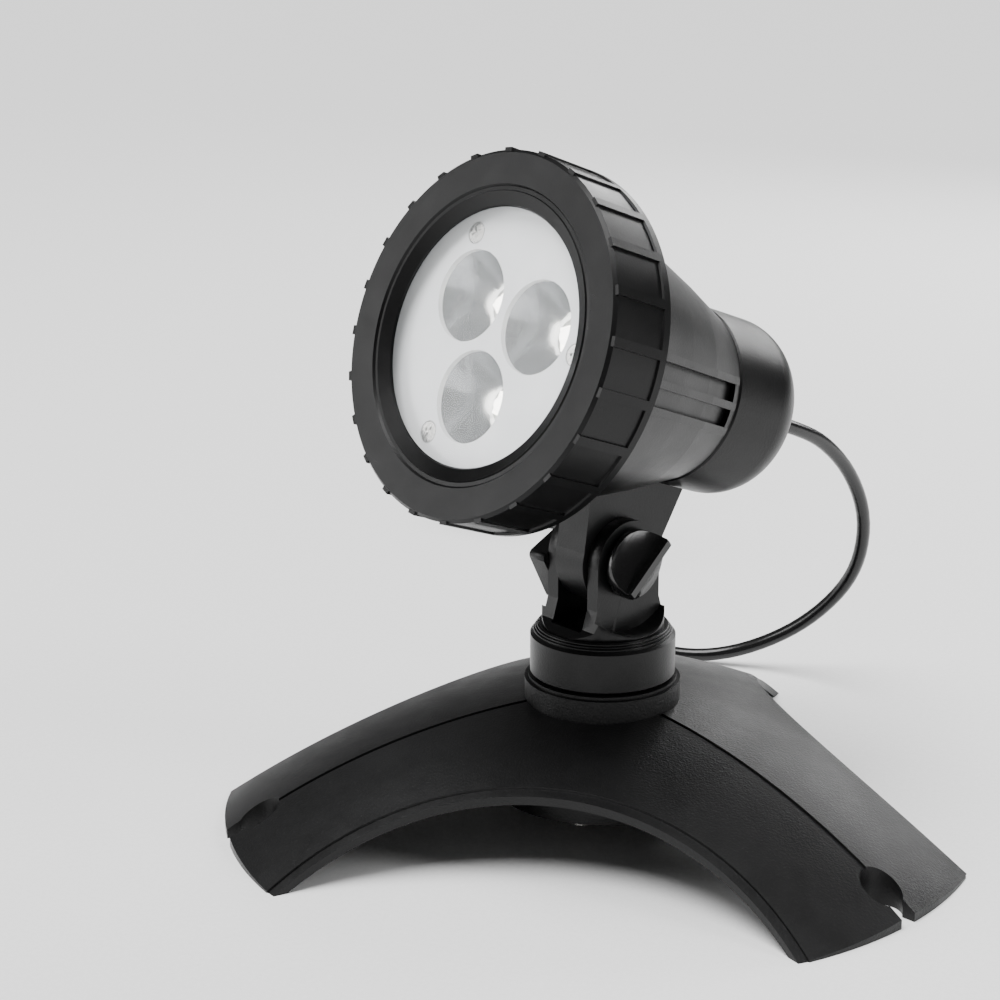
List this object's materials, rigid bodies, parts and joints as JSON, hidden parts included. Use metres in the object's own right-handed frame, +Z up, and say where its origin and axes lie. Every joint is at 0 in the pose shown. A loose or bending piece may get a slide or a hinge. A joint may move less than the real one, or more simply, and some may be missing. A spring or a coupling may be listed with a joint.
{
  "type": "pond spotlight",
  "caption": "Round underwater spotlight in a swivelling, tilting clamp on a three-legged domed foot, with its cord and plug.",
  "frame": {"origin": "centre of the three-legged foot, on the ground that it stands on", "axes": "+Z up along the swivel axis, +Y along one leg, the lamp faces between -Y and -X at rest"},
  "size_m": [0.1797, 0.3231, 0.1505],
  "materials": {
    "plastic": "fine-grained semi-gloss black moulding",
    "ring_plastic": "smooth satin black moulding",
    "knob_plastic": "glossy black moulding",
    "cord_jacket": "smooth glossy black jacket",
    "rubber": "black rubber seal",
    "steel": "stainless screw steel",
    "weight_iron": "rough cast weight",
    "glass": "clear float glass",
    "satin_plate": "satin silver-white plate",
    "reflector": "vacuum-metallised cone",
    "board_mask": "white solder mask",
    "emitter": "ceramic base with phosphor dome",
    "sink_aluminium": "die-cast aluminium",
    "board_green": "green solder mask",
    "component": "black moulded components",
    "lead_red": "insulated wire",
    "brass": "nickel-free brass contact"
  },
  "bodies": {
    "base": {"base_foot": "plastic", "base_weight": "weight_iron", "base_cover": "plastic", "base_screws": "steel", "friction_ring": "rubber", "cord_lead": "cord_jacket", "cord_coil": "cord_jacket", "cord_tail": "cord_jacket", "plug_body": "cord_jacket", "plug_seal": "rubber", "plug_pins": "brass"},
    "yoke": {"yoke": "plastic", "swivel_collar": "plastic", "swivel_washer": "steel", "swivel_screw": "steel", "nut_grip": "plastic", "clamp_nut": "steel"},
    "knob": {"clamp_knob": "knob_plastic", "knob_stud": "steel", "knob_washer": "steel"},
    "head": {"housing": "plastic", "friction_discs": "rubber", "front_glass": "glass", "glass_gasket": "rubber", "reflector_plate": "satin_plate", "reflector_cups": "reflector", "plate_screws": "steel", "led_board": "board_mask", "led_emitters": "emitter", "heat_sink": "sink_aluminium", "driver_board": "board_green", "driver_parts": "component", "inner_leads": "lead_red", "rear_cap": "plastic", "cap_seal": "rubber", "cable_gland": "cord_jacket", "gland_nut": "brass", "core_leads": "lead_red"},
    "bezel": {"bezel_ring": "ring_plastic"}
  },
  "joints": [
    {"name": "swivel", "type": "hinge", "parent": "base", "child": "yoke", "pos_m": [0, 0, 0], "axis": [0, 0, 1], "range_deg": [-60, 60], "deforming": ["cord_lead"]},
    {"name": "tilt", "type": "hinge", "parent": "yoke", "child": "head", "pos_m": [0, 0, 0.0595], "axis": [-0.8339, 0.5519, 0], "range_deg": [-35, 45], "deforming": ["cord_lead"]},
    {"name": "knob_turn", "type": "hinge", "parent": "yoke", "child": "knob", "pos_m": [0, 0, 0.0595], "axis": [0.8339, -0.5519, 0], "range_deg": [0, 540]},
    {"name": "bezel_turn", "type": "hinge", "parent": "head", "child": "bezel", "pos_m": [0.00728, 0.011, 0.09556], "axis": [-0.5183, -0.7831, 0.3437], "range_deg": [0, 45]}
  ]
}
